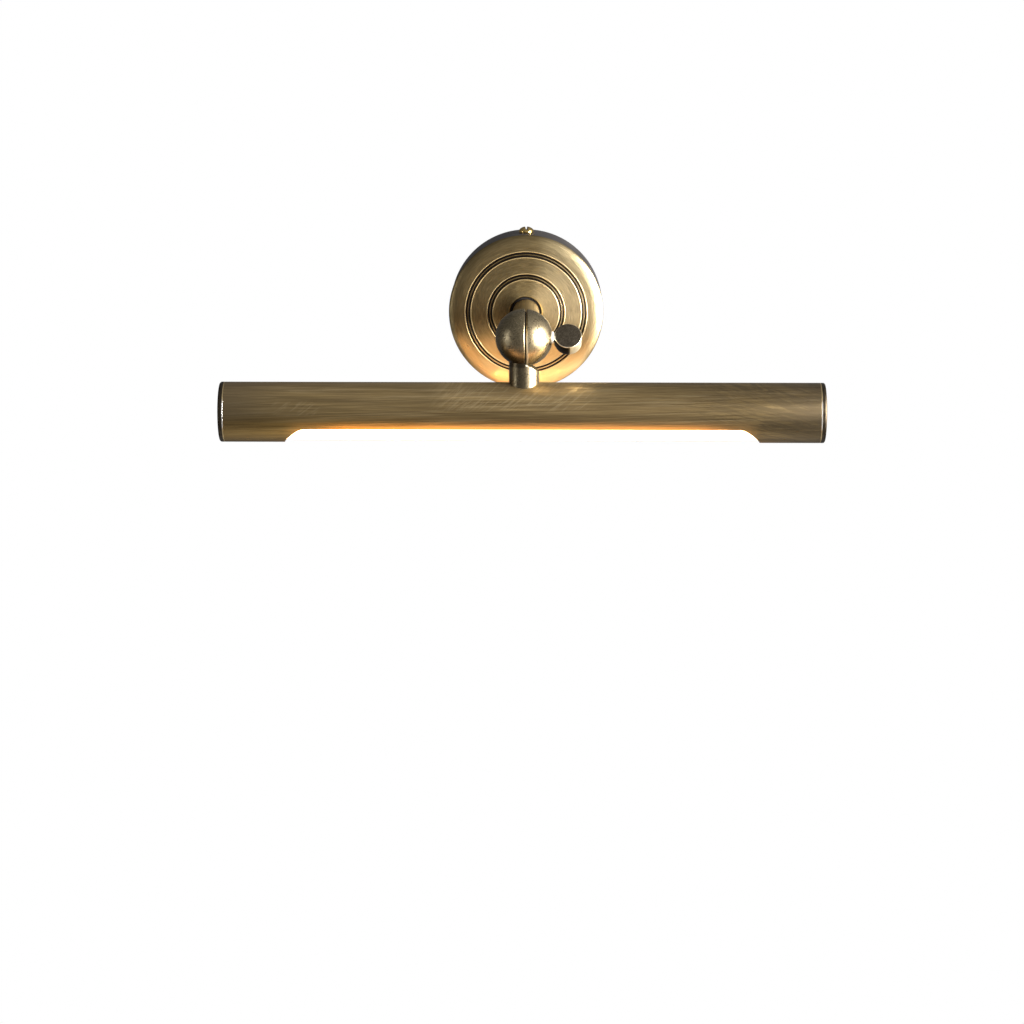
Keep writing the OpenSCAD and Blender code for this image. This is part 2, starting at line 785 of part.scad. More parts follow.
wall_strap();
earth_screw();
canopy_shell();
canopy_face();
canopy_screws();
arm_plate();
plate_screws();
arm_bush();
arm_tube();
arm_rod();
arm_washer();
arm_nut();
arm_half_ball();
led_driver();
driver_pad();
terminal_block();
terminal_screws();
supply_wires();
arm_lead();
stem_half_ball();
friction_ring();
stem_nipple();
stem_washer();
stem_nut();
lamp_tube();
left_end_cap();
right_end_cap();
led_rail();
led_board();
led_chips();
board_screws();
lead_connector();
diffuser();
stem_lead();
clamp_paddle();
clamp_screw();
clamp_washer();
clamp_spring_washer();
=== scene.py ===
import json
import math

import bmesh
import bpy
from mathutils import Matrix, Vector


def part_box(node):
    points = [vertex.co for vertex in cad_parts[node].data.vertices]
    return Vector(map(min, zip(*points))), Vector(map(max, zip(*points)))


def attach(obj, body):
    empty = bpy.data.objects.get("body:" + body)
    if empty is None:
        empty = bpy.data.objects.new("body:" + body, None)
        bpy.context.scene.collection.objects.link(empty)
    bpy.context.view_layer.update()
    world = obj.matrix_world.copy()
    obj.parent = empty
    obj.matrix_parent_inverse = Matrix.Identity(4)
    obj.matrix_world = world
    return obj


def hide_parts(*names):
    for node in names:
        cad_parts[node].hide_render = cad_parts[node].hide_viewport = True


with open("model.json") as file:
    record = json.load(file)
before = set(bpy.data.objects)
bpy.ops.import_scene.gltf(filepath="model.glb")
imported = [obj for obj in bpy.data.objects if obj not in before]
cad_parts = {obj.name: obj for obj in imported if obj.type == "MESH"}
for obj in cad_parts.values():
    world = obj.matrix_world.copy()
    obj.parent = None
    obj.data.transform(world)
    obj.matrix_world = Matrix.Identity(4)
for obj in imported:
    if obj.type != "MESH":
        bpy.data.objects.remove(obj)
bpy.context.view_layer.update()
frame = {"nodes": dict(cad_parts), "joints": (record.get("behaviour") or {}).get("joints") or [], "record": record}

MM = 0.001
STEPS = 192                # sides of a turned piece

# ---- places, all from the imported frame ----


def joint(name):
    return next(j for j in frame["joints"] if j["name"] == name)


ball = Vector(joint("head_tilt")["pos_m"])
tube_low, tube_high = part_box("lamp_tube")
tube_r = (tube_high.y - tube_low.y) / 2
tube_axis = Vector(((tube_low.x + tube_high.x) / 2, (tube_low.y + tube_high.y) / 2, tube_high.z - tube_r))
tube_half = (tube_high.x - tube_low.x) / 2
cap_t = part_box("right_end_cap")[1].x - tube_high.x
face_low, face_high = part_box("canopy_face")
canopy_r = (face_high.x - face_low.x) / 2
SHOULDER_R = canopy_r - 9.6 * MM
SHOULDER_DEPTH = 3.4 * MM
CONE_RISE = 2.0 * MM
FACE_EDGE_R = 11.9 * MM    # where the cone of the CAD face begins, beside its middle hole
canopy_depth = -face_low.y + CONE_RISE * FACE_EDGE_R / SHOULDER_R
side_low, side_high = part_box("canopy_shell")
side_r = (side_high.x - side_low.x) / 2
rim_back = -side_low.y
arm_low, arm_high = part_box("arm_tube")
arm_r = (arm_high.x - arm_low.x) / 2
bush_low, bush_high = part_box("arm_bush")
ball_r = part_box("stem_half_ball")[1].z - ball.z

pole_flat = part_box("clamp_washer")[0].x - ball.x     # distance from the ball's middle to its right flat
PADDLE_R = 9 * MM
PADDLE_X = pole_flat + 11 * MM
PADDLE_T = 10 * MM
PADDLE_MIDDLE = 2.4 * MM   # the paddle's middle plane lies this far behind the clamp screw's axis
PADDLE_TURN = 36
NECK_H = 4.6 * MM

# ---- mesh helpers ----

def facing(axis):
    """Rotation that turns local +Z to the named direction."""
    if axis == "wall":
        return Matrix(((1, 0, 0), (0, 0, -1), (0, 1, 0)))
    return Vector(axis).to_track_quat("Z", "Y").to_matrix()


def rounded(corners, steps=5, closed=True):
    """Outline through corners (a, b, radius), with the corner cut back by about the radius and rounded."""
    out = []
    n = len(corners)
    for i, (a, b, r) in enumerate(corners):
        p = Vector((a, b))
        if r <= 0 or (not closed and i in (0, n - 1)):
            out.append(p)
            continue
        before = Vector(corners[i - 1][:2]) - p
        after = Vector(corners[(i + 1) % n][:2]) - p
        start = p + before.normalized() * min(r, before.length * 0.49)
        end = p + after.normalized() * min(r, after.length * 0.49)
        for k in range(steps + 1):
            f = k / steps
            out.append((1 - f) ** 2 * start + 2 * f * (1 - f) * p + f * f * end)
    return out


def turned(outline, axis, centre, steps=STEPS):
    """Mesh of a closed outline of (radius, along) points turned round an axis."""
    bm = bmesh.new()
    turn, centre = facing(axis), Vector(centre)
    rings = []
    for r, t in outline:
        if r < 1e-7:
            rings.append([bm.verts.new(centre + turn @ Vector((0, 0, t)))] * steps)
            continue
        rings.append([
            bm.verts.new(centre + turn @ Vector((r * math.cos(a), r * math.sin(a), t)))
            for a in (2 * math.pi * k / steps for k in range(steps))
        ])
    for i, ring in enumerate(rings):
        following = rings[(i + 1) % len(rings)]
        for k in range(steps):
            corners = [ring[k], ring[(k + 1) % steps], following[(k + 1) % steps], following[k]]
            face = list(dict.fromkeys(corners))
            if len(face) > 2:
                bm.faces.new(face)
    return bm


def extruded(outline, depth, turn, centre):
    """Mesh of a flat outline, extruded by depth to both sides of its middle plane."""
    bm = bmesh.new()
    turn, centre = Matrix(turn), Vector(centre)
    low = [bm.verts.new(centre + turn @ Vector((p[0], p[1], -depth / 2))) for p in outline]
    high = [bm.verts.new(centre + turn @ Vector((p[0], p[1], depth / 2))) for p in outline]
    bm.faces.new(low)
    bm.faces.new(high)
    for k in range(len(outline)):
        m = (k + 1) % len(outline)
        bm.faces.new((low[k], low[m], high[m], high[k]))
    return bm


def loose(name, bm):
    """An object from a mesh in the making, not yet on any body."""
    bmesh.ops.recalc_face_normals(bm, faces=bm.faces)
    mesh = bpy.data.meshes.new(name)
    bm.to_mesh(mesh)
    bm.free()
    obj = bpy.data.objects.new(name, mesh)
    bpy.context.scene.collection.objects.link(obj)
    return obj


def apply(obj):
    """Fixes the modifiers into the mesh."""
    bpy.context.view_layer.update()
    graph = bpy.context.evaluated_depsgraph_get()
    made = bpy.data.meshes.new_from_object(obj.evaluated_get(graph))
    obj.modifiers.clear()
    obj.data = made


def combine(obj, other, operation):
    """Joins or cuts obj with other, which is used up."""
    m = obj.modifiers.new("combine", "BOOLEAN")
    m.object = other
    m.operation = operation
    m.solver = "EXACT"
    apply(obj)
    bpy.data.objects.remove(other)


def soften(obj, width, segments=3, angle=40):
    m = obj.modifiers.new("soften", "BEVEL")
    m.width = width
    m.segments = segments
    m.limit_method = "ANGLE"
    m.angle_limit = math.radians(angle)
    m.use_clamp_overlap = True
    apply(obj)


def settle(obj, material, body, nodes=(), sharp=35):
    """Smooth shading, material, body and the CAD nodes that the piece stands for."""
    obj.data.materials.clear()
    obj.data.materials.append(material)
    for p in obj.data.polygons:
        p.use_smooth = True
        p.material_index = 0
    obj.data.set_sharp_from_angle(angle=math.radians(sharp))
    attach(obj, body)
    if nodes:
        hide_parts(*nodes)
    return obj


# ---- material helpers ----


class Shade:
    """A material in the making, with short calls for its nodes."""

    def __init__(self, name, **surface):
        self.material = bpy.data.materials.new(name)
        self.material.use_nodes = True
        self.tree = self.material.node_tree
        self.shader = self.tree.nodes["Principled BSDF"]
        for key, value in surface.items():
            self.shader.inputs[key.replace("_", " ")].default_value = value
        self.place = self.node("ShaderNodeTexCoord").outputs["Object"]

    def node(self, kind, **settings):
        made = self.tree.nodes.new(kind)
        for key, value in settings.items():
            setattr(made, key, value)
        return made

    def put(self, socket, value):
        if isinstance(value, bpy.types.NodeSocket):
            self.tree.links.new(value, socket)
        elif isinstance(value, tuple) and len(value) == 3 and socket.type == "RGBA":
            socket.default_value = (*value, 1)
        else:
            socket.default_value = value

    def math(self, operation, a, b=0.0):
        n = self.node("ShaderNodeMath", operation=operation)
        for socket, value in zip(n.inputs, (a, b)):
            self.put(socket, value)
        return n.outputs[0]

    def times(self, a, b):
        return self.math("MULTIPLY", a, b)

    def plus(self, a, b):
        return self.math("ADD", a, b)

    def minus(self, a, b):
        return self.math("SUBTRACT", a, b)

    def size(self, a):
        return self.math("ABSOLUTE", a)

    def vector(self, operation, a, b):
        n = self.node("ShaderNodeVectorMath", operation=operation)
        self.put(n.inputs[0], a)
        self.put(n.inputs[1], b)
        return n.outputs["Vector"]

    def split(self, v):
        n = self.node("ShaderNodeSeparateXYZ")
        self.put(n.inputs[0], v)
        return n.outputs[0], n.outputs[1], n.outputs[2]

    def join(self, x, y, z):
        n = self.node("ShaderNodeCombineXYZ")
        for socket, value in zip(n.inputs, (x, y, z)):
            self.put(socket, value)
        return n.outputs[0]

    def turn(self, v, angles=(0, 0, 0), scale=(1, 1, 1), move=(0, 0, 0)):
        """Moves, then turns, then stretches the coordinates."""
        v = self.vector("SUBTRACT", v, tuple(move))
        n = self.node("ShaderNodeMapping")
        self.put(n.inputs["Vector"], v)
        n.inputs["Rotation"].default_value = [math.radians(a) for a in angles]
        return self.vector("MULTIPLY", n.outputs[0], tuple(scale))

    def noise(self, v, scale=1.0, detail=3.0, rough=0.55, distortion=0.0, low=0.3, high=0.7):
        """Noise spread from 0 to 1 between its values low and high."""
        n = self.node("ShaderNodeTexNoise")
        self.put(n.inputs["Vector"], v)
        n.inputs["Scale"].default_value = scale
        n.inputs["Detail"].default_value = detail
        n.inputs["Roughness"].default_value = rough
        n.inputs["Distortion"].default_value = distortion
        return self.step(n.outputs["Fac"], low, high)

    def step(self, value, low, high, smooth=True):
        n = self.node("ShaderNodeMapRange", interpolation_type="SMOOTHSTEP" if smooth else "LINEAR")
        self.put(n.inputs["Value"], value)
        n.inputs["From Min"].default_value = low
        n.inputs["From Max"].default_value = high
        return n.outputs["Result"]

    def fit(self, value, low, high):
        """0..1 spread to low..high."""
        n = self.node("ShaderNodeMapRange")
        self.put(n.inputs["Value"], value)
        n.inputs["To Min"].default_value = low
        n.inputs["To Max"].default_value = high
        return n.outputs["Result"]

    def mix(self, a, b, fac, kind="MIX"):
        n = self.node("ShaderNodeMix", data_type="RGBA", blend_type=kind)
        self.put(n.inputs["Factor"], fac)
        self.put(n.inputs[6], a)
        self.put(n.inputs[7], b)
        return n.outputs[2]

    def bump(self, height, distance, strength):
        """Relief: height from 0 to 1 stands for distance in metres."""
        n = self.node("ShaderNodeBump")
        self.put(n.inputs["Height"], height)
        n.inputs["Distance"].default_value = distance
        n.inputs["Strength"].default_value = strength
        return n.outputs[0]

    def done(self, colour, roughness, normal):
        """Links colour, roughness and relief, and gives the finished material."""
        for name, value in (("Base Color", colour), ("Roughness", roughness), ("Normal", normal)):
            self.put(self.shader.inputs[name], value)
        return self.material


def polar(s, centre, axis):
    """Place round an axis: the two parts of a unit direction, the radius and the place along the axis."""
    x, y, z = s.split(s.vector("SUBTRACT", s.place, tuple(centre)))
    a, b = {"x": (y, z), "y": (x, z), "z": (x, y)}[axis]
    r = s.math("SQRT", s.plus(s.times(a, a), s.times(b, b)))
    safe = s.math("MAXIMUM", r, 1e-5)
    return s.math("DIVIDE", a, safe), s.math("DIVIDE", b, safe), r, {"x": x, "y": y, "z": z}[axis]


def circular_brush(s, centre, axis, fine, coarse):
    """Two noises that run in circles: fine brush lines and broader bands, with short strokes."""
    ca, sa, r, along = polar(s, centre, axis)
    lines = s.noise(s.join(s.times(ca, 5.0), s.times(sa, 5.0),
                           s.times(s.plus(r, along), fine)), 1, 4, 0.6)
    strokes = s.noise(s.join(s.times(ca, 7.0), s.times(sa, 7.0),
                             s.times(s.plus(r, along), coarse)), 1, 3, 0.5)
    return lines, strokes, r, along


def canopy_brass():
    s = Shade("canopy brass", Metallic=1.0)
    lines, strokes, r, y = circular_brush(s, (0, 0, 0), "y", 2400, 1000)
    across, high, _, _ = polar(s, (0, 0, 0), "y")
    height = s.times(high, r)
    blotch = s.noise(s.place, 38, 3, 0.6)
    # how far the surface lies behind the smooth cone: above 0 in a groove, below 0 on a groove's lip
    sunk = s.minus(s.plus(y, canopy_depth), s.times(r, CONE_RISE / SHOULDER_R))
    groove = s.times(s.step(sunk, 0.00022, 0.0005), s.math("LESS_THAN", r, SHOULDER_R - 0.6 * MM))
    lip = s.times(s.step(s.times(sunk, -1.0), 0.00001, 0.00009),
                 s.math("LESS_THAN", r, SHOULDER_R - 0.3 * MM))
    # painted shade: browner towards the upper left, and a brown painted shadow to the left of the arm's root
    shaded_upper_left = s.step(s.minus(s.times(high, 0.72), s.times(across, 0.69)), 0.22, 0.68)
    shaded_upper_left = s.times(shaded_upper_left, s.fit(s.step(r, 0.014, 0.036), 0.35, 1.0))
    arm_root_shadow = s.times(s.step(s.times(across, -1.0), 0.2, 0.9), s.step(r, 0.027, 0.015))
    base = s.mix((0.40, 0.292, 0.132), (0.66, 0.505, 0.255), lines)
    base = s.mix(base, (0.30, 0.216, 0.096), s.times(strokes, 0.6))
    base = s.mix(base, (0.30, 0.215, 0.095), s.times(blotch, 0.3))
    base = s.mix(base, (0.145, 0.103, 0.048), s.times(shaded_upper_left, 0.62))
    # painted highlight: paler towards the right, where the key light falls
    painted_light_right = s.step(s.plus(s.times(across, 0.93), s.times(high, 0.37)), 0.45, 0.95)
    base = s.mix(base, (0.88, 0.74, 0.48), s.times(painted_light_right, 0.36))
    # painted warm light from the lamp on the lower part of the face
    base = s.mix(base, (0.98, 0.66, 0.30), s.times(s.step(height, -0.012, -0.022), 0.6))
    base = s.mix(base, (0.06, 0.036, 0.012), s.times(arm_root_shadow, 0.6))
    # painted shade at the lower right, outside the inner grooves
    low_right = s.times(s.step(across, 0.62, 0.90), s.step(high, -0.05, -0.40))
    low_right = s.times(low_right, s.step(r, 0.036, 0.045))
    base = s.mix(base, (0.27, 0.205, 0.115), s.times(low_right, 0.5))
    # painted highlight on the grooves' lips towards the left, and painted shade on them towards the right
    base = s.mix(base, (0.85, 0.66, 0.35), s.times(lip, s.fit(s.step(across, 0.35, 0.75), 0.5, 0.0)))
    base = s.mix(base, (0.36, 0.285, 0.165), s.times(lip, s.times(s.step(across, 0.35, 0.75), 0.75)))
    base = s.mix(base, (0.035, 0.028, 0.024), groove)
    rough = s.plus(s.fit(lines, 0.27, 0.36), s.times(blotch, 0.05))
    rough = s.plus(rough, s.times(s.step(height, -0.028, -0.042), 0.16))
    rough = s.plus(rough, s.times(lip, 0.22))
    normal = s.bump(s.plus(lines, s.times(strokes, 0.6)), 0.00006, 0.5)
    return s.done(base, rough, normal)


def side_bronze():
    s = Shade("canopy side bronze", Metallic=0.9)
    ca, sa, r, y = polar(s, (0, 0, 0), "y")
    lines = s.noise(s.join(s.times(ca, 4.0), s.times(sa, 4.0), s.times(y, 1800)), 1, 4, 0.6)
    speck = s.noise(s.place, 900, 2, 0.5)
    base = s.mix((0.105, 0.095, 0.092), (0.19, 0.172, 0.165), lines)
    base = s.mix(base, (0.07, 0.062, 0.058), s.times(s.noise(s.place, 45, 3), 0.4))
    return s.done(base, s.fit(lines, 0.38, 0.52), s.bump(s.plus(lines, speck), 0.00003, 0.4))


def arm_brass():
    s = Shade("arm brass", Metallic=1.0)
    dark, light, stretch = (0.30, 0.22, 0.105), (0.46, 0.35, 0.18), (1500, 10, 1500)
    lines = s.noise(s.turn(s.place, scale=stretch, move=ball), 1, 5, 0.65)
    broad = s.noise(s.turn(s.place, scale=[k * 0.25 for k in stretch], move=ball), 1, 3, 0.5)
    blotch = s.noise(s.place, 60, 4, 0.6)
    base = s.mix(dark, light, lines)
    base = s.mix(base, tuple(0.62 * k for k in dark), s.times(broad, 0.45))
    base = s.mix(base, tuple(0.7 * k for k in dark), s.times(blotch, 0.3))
    rough = s.plus(s.fit(lines, 0.3, 0.42), s.times(blotch, 0.06))
    return s.done(base, rough, s.bump(s.plus(lines, broad), 0.00005, 0.5))


def scratches(s, angle, length, width, keep, seed):
    """Short straight scratches in one direction, kept where a coarse noise is high."""
    v = s.turn(s.place, angle, (length, width, width), (seed * 0.013, seed * 0.007, seed * 0.011))
    lines = s.noise(v, 1, 2, 0.5, low=0.6, high=0.74)
    where = s.noise(s.turn(s.place, move=(seed * 0.021, 0, seed * 0.017)), keep, 2, 0.5, low=0.45, high=0.62)
    return s.times(lines, where)


def ball_brass():
    s = Shade("ball brass", Metallic=1.0)
    x, y, z = s.split(s.vector("SUBTRACT", s.place, tuple(ball)))
    fine = s.noise(s.turn(s.place, (20, 35, 62), (110, 1100, 1100)), 1, 4, 0.6)
    cross = s.noise(s.turn(s.place, (-35, 15, -28), (130, 1300, 1300)), 1, 4, 0.6)
    cloud = s.noise(s.turn(s.place, (20, 35, 62), (90, 260, 260)), 1, 4, 0.65)
    marks = s.math("MAXIMUM", scratches(s, (10, 30, 55), 80, 900, 160, 1),
                   scratches(s, (-20, 10, -40), 100, 1100, 190, 2))
    # painted highlight along the bevel of the right half, and painted shade underneath
    chamfer_highlight = s.times(s.step(s.size(s.minus(x, 2.0 * MM)), 0.95 * MM, 0.6 * MM),
                  s.step(z, 7 * MM, -2 * MM))
    chamfer_highlight = s.times(chamfer_highlight, s.step(z, -18.8 * MM, -17 * MM))
    below = s.times(s.step(z, -5 * MM, -13 * MM), s.step(z, -19.6 * MM, -18.4 * MM))
    base = s.mix((0.26, 0.205, 0.118), (0.54, 0.435, 0.265), fine)
    base = s.mix(base, (0.46, 0.375, 0.23), s.times(cross, 0.5))
    base = s.mix(base, (0.13, 0.102, 0.062), s.times(cloud, 0.45))
    base = s.mix(base, (0.74, 0.61, 0.38), s.times(marks, 0.6))
    # painted shade underneath, left of the split
    base = s.mix(base, (0.09, 0.068, 0.038), s.times(s.times(below, s.step(x, 3 * MM, -1 * MM)), 0.9))
    shaded = s.times(s.step(z, -3 * MM, -9 * MM), s.step(x, 2.2 * MM, 0.5 * MM))
    base = s.mix(base, (0.10, 0.078, 0.046), s.times(shaded, 0.6))
    base = s.mix(base, (0.95, 0.88, 0.70), s.times(chamfer_highlight, 0.9))
    rough = s.plus(s.fit(cloud, 0.22, 0.34), s.times(fine, 0.08))
    rough = s.plus(rough, s.times(chamfer_highlight, 0.3))
    normal = s.bump(s.plus(s.plus(fine, cross), s.times(marks, -0.3)), 0.00005, 0.4)
    return s.done(base, rough, normal)


def tube_brass():
    s = Shade("tube brass", Metallic=1.0)
    at = tuple(tube_axis)
    x, y, z = s.split(s.vector("SUBTRACT", s.place, at))
    long_lines = s.noise(s.turn(s.place, (0, 1.5, 0), (10, 1300, 1300), at), 1, 5, 0.65)
    bands = s.noise(s.turn(s.place, (0, -2, 0), (7, 260, 260), at), 1, 5, 0.65, low=0.36, high=0.64)
    light_streaks = s.noise(s.turn(s.place, (0, 2.5, 0), (12, 420, 420), at), 1, 4, 0.6, low=0.52, high=0.68)
    blotch = s.noise(s.turn(s.place, scale=(14, 70, 70), move=at), 1, 4, 0.6)
    # short slanting scratches: a long patch above the stem and a small one near the left end
    slant = s.turn(s.place, (0, 34, 0), (75, 25, 820))
    slant = s.noise(slant, 1, 2, 0.5, distortion=0.5, low=0.50, high=0.64)
    other = s.turn(s.place, (0, 46, 0), (85, 25, 760), (0.03, 0, 0.02))
    other = s.noise(other, 1, 2, 0.5, low=0.53, high=0.66)
    patch = s.times(s.step(s.size(s.plus(x, 0.005)), 0.060, 0.040), s.step(z, 0.001, 0.008))
    near_end = s.times(s.step(s.size(s.plus(x, 0.149)), 0.019, 0.010),
                      s.step(s.size(s.minus(z, 0.005)), 0.0055, 0.0025))
    scratched = s.times(slant, s.math("MAXIMUM", patch, near_end))
    scratched = s.math("MAXIMUM", scratched, s.times(s.times(other, patch), s.step(x, -0.015, -0.035)))
    # darker, greyer ends with a grain-like figure at the right
    ends = s.step(s.size(x), 0.150, 0.198)
    figure = s.turn(s.place, (0, -14, 0), (30, 30, 380), at)
    figure = s.noise(figure, 1, 5, 0.7, distortion=1.4, low=0.42, high=0.58)
    figure = s.times(figure, s.step(x, 0.095, 0.150))
    # warm light from the window tints the strip just above its edge
    warm = s.times(s.step(z, -1 * MM, -8.5 * MM), s.step(s.size(x), 0.160, 0.145))
    base = s.mix((0.225, 0.152, 0.064), (0.360, 0.256, 0.116), long_lines)
    base = s.mix(base, (0.150, 0.104, 0.048), s.times(bands, 0.6))
    base = s.mix(base, (0.26, 0.19, 0.10), s.times(blotch, 0.3))
    base = s.mix(base, (0.52, 0.40, 0.22), s.times(light_streaks, 0.3))
    base = s.mix(base, (0.54, 0.42, 0.24), s.times(scratched, 0.26))
    base = s.mix(base, (0.12, 0.090, 0.052), s.times(figure, 0.6))
    base = s.mix(base, (0.15, 0.115, 0.074), s.times(ends, 0.5))
    base = s.mix(base, (0.62, 0.38, 0.15), s.times(warm, 0.6))
    # painted shade along the top of the tube near its middle
    crest = s.times(s.step(z, 0.009, 0.014), s.step(s.size(x), 0.095, 0.030))
    base = s.mix(base, (0.13, 0.098, 0.052), s.times(crest, 0.5))
    # more golden low on the left
    golden = s.times(s.step(z, 3 * MM, -6 * MM), s.step(x, 0.04, -0.12))
    base = s.mix(base, (0.96, 0.86, 0.62), golden, "MULTIPLY")
    # painted light: paler on the left and along the top, where the room is darker
    painted_light_gain = s.times(s.fit(s.step(x, -0.10, 0.20, smooth=False), 1.62, 0.82),
                   s.fit(s.step(z, 0.004, 0.019), 1.0, 1.45))
    # painted light: brighter low at the right end
    low_right = s.times(s.step(x, 0.135, 0.165), s.step(z, -0.003, -0.014))
    painted_light_gain = s.times(painted_light_gain, s.fit(low_right, 1.0, 1.7))
    base = s.mix(base, s.join(painted_light_gain, painted_light_gain, painted_light_gain), 1.0, "MULTIPLY")
    rough = s.plus(s.fit(long_lines, 0.27, 0.36), s.times(patch, 0.06))
    rough = s.plus(rough, s.times(crest, 0.14))
    height = s.plus(s.plus(long_lines, bands), s.times(scratched, 0.9))
    return s.done(base, rough, s.bump(height, 0.00006, 0.6))


def cap_brass():
    s = Shade("cap brass", Metallic=1.0)
    lines, strokes, r, x = circular_brush(s, tuple(tube_axis), "x", 2400, 800)
    out = s.minus(s.size(x), tube_half)
    seam = s.step(out, 0.9 * MM, 0.4 * MM)
    edge = s.step(s.minus(s.plus(r, out), tube_r + cap_t), -1.1 * MM, -0.6 * MM)
    base = s.mix((0.045, 0.035, 0.025), (0.105, 0.082, 0.055), lines)
    base = s.mix(base, (0.030, 0.024, 0.018), s.times(strokes, 0.4))
    wear = s.noise(s.place, 700, 3, 0.6, low=0.4, high=0.6)
    _, _, high = s.split(s.vector("SUBTRACT", s.place, tuple(tube_axis)))
    middle = s.step(s.size(s.minus(high, 1 * MM)), 11 * MM, 7 * MM)
    base = s.mix(base, (0.78, 0.60, 0.32), s.times(seam, 0.9))
    # painted highlight: white in the middle of the seam
    base = s.mix(base, (1.0, 0.98, 0.94), s.times(seam, middle))
    base = s.mix(base, (0.022, 0.016, 0.009), s.times(edge, 0.85))
    base = s.mix(base, (0.085, 0.058, 0.026), s.times(edge, s.times(wear, 0.8)))
    return s.done(base, s.fit(lines, 0.30, 0.42), s.bump(s.plus(lines, strokes), 0.00005, 0.5))


def paddle_brass():
    s = Shade("paddle brass", Metallic=1.0)
    # in the paddle's own frame: x along it, y through its thickness
    x, y, z = s.split(s.turn(s.place, (PADDLE_TURN, 0, 0), move=tuple(ball)))
    y = s.minus(y, PADDLE_MIDDLE)
    off = s.minus(x, PADDLE_X)
    r = s.math("SQRT", s.plus(s.times(off, off), s.times(z, z)))
    edge = s.times(s.step(r, PADDLE_R - 0.55 * MM, PADDLE_R - 0.3 * MM),
                  s.step(s.size(y), PADDLE_T / 2 - 0.75 * MM, PADDLE_T / 2 - 0.3 * MM))
    # painted highlight under the round end, next to the painted shade under the neck
    end_highlight = s.times(s.step(r, PADDLE_R - 0.3 * MM, PADDLE_R - 0.1 * MM),
                    s.times(s.step(z, 1 * MM, -3 * MM), s.step(off, 0.4 * MM, 1.8 * MM)))
    lower_left = s.times(s.step(z, 0.5 * MM, -1.5 * MM), s.step(off, 0.6 * MM, -0.6 * MM))
    underside_shade = s.times(lower_left, s.step(s.size(y), PADDLE_T / 2 - 0.4 * MM, PADDLE_T / 2 - 0.9 * MM))
    lines = s.noise(s.turn(s.place, (0, 65, 0), (60, 1200, 1200)), 1, 4, 0.6)
    cloud = s.noise(s.place, 160, 4, 0.6)
    base = s.mix((0.11, 0.090, 0.064), (0.21, 0.170, 0.118), lines)
    base = s.mix(base, (0.075, 0.060, 0.042), s.times(cloud, 0.4))
    # painted shade on the underside by the neck
    base = s.mix(base, (0.018, 0.014, 0.010), s.times(underside_shade, 0.95))
    # painted highlights along the edges, brightest low on the left
    base = s.mix(base, (0.80, 0.68, 0.46), s.times(edge, 0.75))
    base = s.mix(base, (1.0, 0.93, 0.75), s.times(edge, lower_left))
    base = s.mix(base, (0.84, 0.74, 0.52), s.times(end_highlight, 0.95))
    rough = s.plus(s.fit(lines, 0.28, 0.38), s.times(end_highlight, 0.17))
    return s.done(base, rough, s.bump(lines, 0.00004, 0.45))


def polished(name, colour, rough=(0.10, 0.2), metallic=1.0):
    s = Shade(name, Metallic=metallic)
    cloud = s.noise(s.place, 320, 4, 0.6)
    lines = s.noise(s.turn(s.place, (25, 10, 40), (200, 2200, 2200)), 1, 3, 0.6)
    base = s.mix(colour, tuple(0.72 * k for k in colour), s.times(cloud, 0.6))
    return s.done(base, s.fit(cloud, *rough), s.bump(lines, 0.00002, 0.35))


def zinc(name, colour, stretch):
    s = Shade(name, Metallic=1.0)
    lines = s.noise(s.turn(s.place, scale=stretch), 1, 4, 0.6)
    spangle = s.noise(s.place, 260, 3, 0.6)
    base = s.mix(colour, tuple(0.66 * k for k in colour), lines)
    base = s.mix(base, tuple(min(1, 1.15 * k) for k in colour), s.times(spangle, 0.3))
    return s.done(base, s.fit(spangle, 0.28, 0.46), s.bump(s.plus(lines, spangle), 0.00004, 0.4))


def moulded(name, dark, light, rough=(0.42, 0.55), grain=1500, bump=0.00004, **surface):
    s = Shade(name, **surface)
    speck = s.noise(s.place, grain, 3, 0.6)
    cloud = s.noise(s.place, 70, 3, 0.5)
    base = s.mix(dark, light, s.plus(s.times(speck, 0.5), s.times(cloud, 0.5)))
    return s.done(base, s.fit(cloud, *rough), s.bump(speck, bump, 0.5))


SPOT_PITCH = 10 * MM


def opal():
    s = Shade("opal lens", Roughness=0.35)
    x, y, z = s.split(s.vector("SUBTRACT", s.place, tuple(tube_axis)))
    cloud = s.noise(s.turn(s.place, scale=(40, 120, 120)), 1, 3, 0.5)
    # the diode row shows as faint warmer spots through the lens
    row = s.math("SINE", s.times(x, 2 * math.pi / SPOT_PITCH))
    spots = s.times(s.step(row, -0.6, 1.0), s.step(z, -0.0120, -0.0178))
    base = s.mix((0.86, 0.82, 0.74), (0.90, 0.87, 0.80), cloud)
    glow = s.mix((1.0, 0.66, 0.34), (1.0, 0.76, 0.46), s.times(spots, 0.8))
    glow = s.mix(glow, (1.0, 0.62, 0.30), s.times(cloud, 0.25))
    s.put(s.shader.inputs["Emission Color"], glow)
    s.shader.inputs["Emission Strength"].default_value = 5.0
    return s.done(base, s.fit(cloud, 0.30, 0.40), s.bump(cloud, 0.00003, 0.3))


def aluminium():
    s = Shade("rail aluminium", Metallic=1.0)
    lines = s.noise(s.turn(s.place, scale=(6, 1800, 1800)), 1, 4, 0.6)
    base = s.mix((0.60, 0.61, 0.62), (0.76, 0.77, 0.78), lines)
    return s.done(base, s.fit(lines, 0.30, 0.42), s.bump(lines, 0.00004, 0.4))


